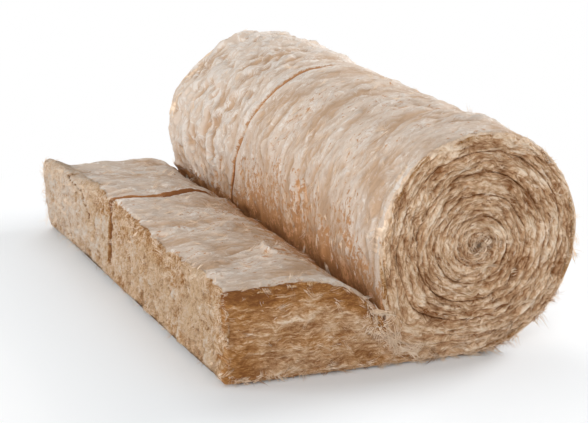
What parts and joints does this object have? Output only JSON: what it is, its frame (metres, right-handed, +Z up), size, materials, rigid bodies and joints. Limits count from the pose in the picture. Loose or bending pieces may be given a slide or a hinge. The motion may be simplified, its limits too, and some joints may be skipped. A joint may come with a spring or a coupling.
{
  "type": "insulation roll",
  "caption": "Mineral wool insulation mat wound into a roll, with its last stretch unrolled flat and slit lengthwise into two strips.",
  "frame": {"origin": "on the floor, under the centre of the box that holds the roll and its unrolled stretch", "axes": "+X from the unrolled stretch's cut end towards the roll, +Y along the roll's axis to its far end, +Z up"},
  "size_m": [0.756, 1.14, 0.4577],
  "materials": {
    "wool": "fibrous mineral wool, matt, pale on its skins and browner on its cut faces"
  },
  "bodies": {
    "root": {"wool_mat": "wool"}
  },
  "joints": []
}
